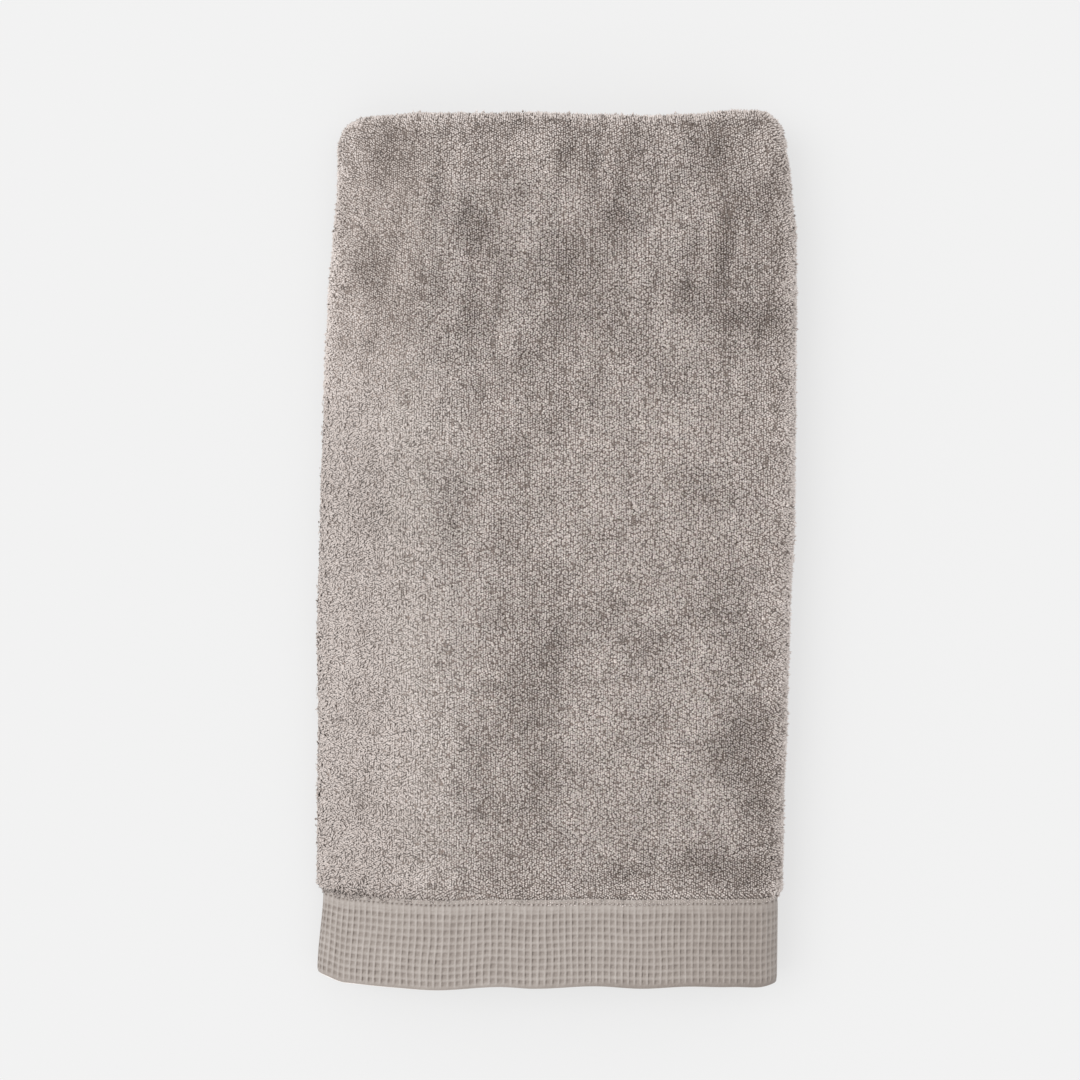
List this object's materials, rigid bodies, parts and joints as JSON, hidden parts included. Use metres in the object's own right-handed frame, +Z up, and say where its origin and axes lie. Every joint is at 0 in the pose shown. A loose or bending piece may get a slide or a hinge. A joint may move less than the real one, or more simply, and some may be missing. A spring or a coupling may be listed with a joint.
{
  "type": "folded bath towel",
  "caption": "Terry bath towel with a woven waffle border, folded in thirds along its length and then across its width, lying flat.",
  "frame": {"origin": "on the surface that the towel lies on, under the middle of the folded towel", "axes": "+X to the right and +Y towards the folded end as seen from above, with the waffle border at the -Y end; +Z up, away from the surface"},
  "size_m": [0.2696, 0.489, 0.0433],
  "materials": {
    "terry_cotton": "looped cotton pile with a flat waffle-woven border, matt"
  },
  "bodies": {
    "root": {"towel": "terry_cotton"}
  },
  "joints": []
}
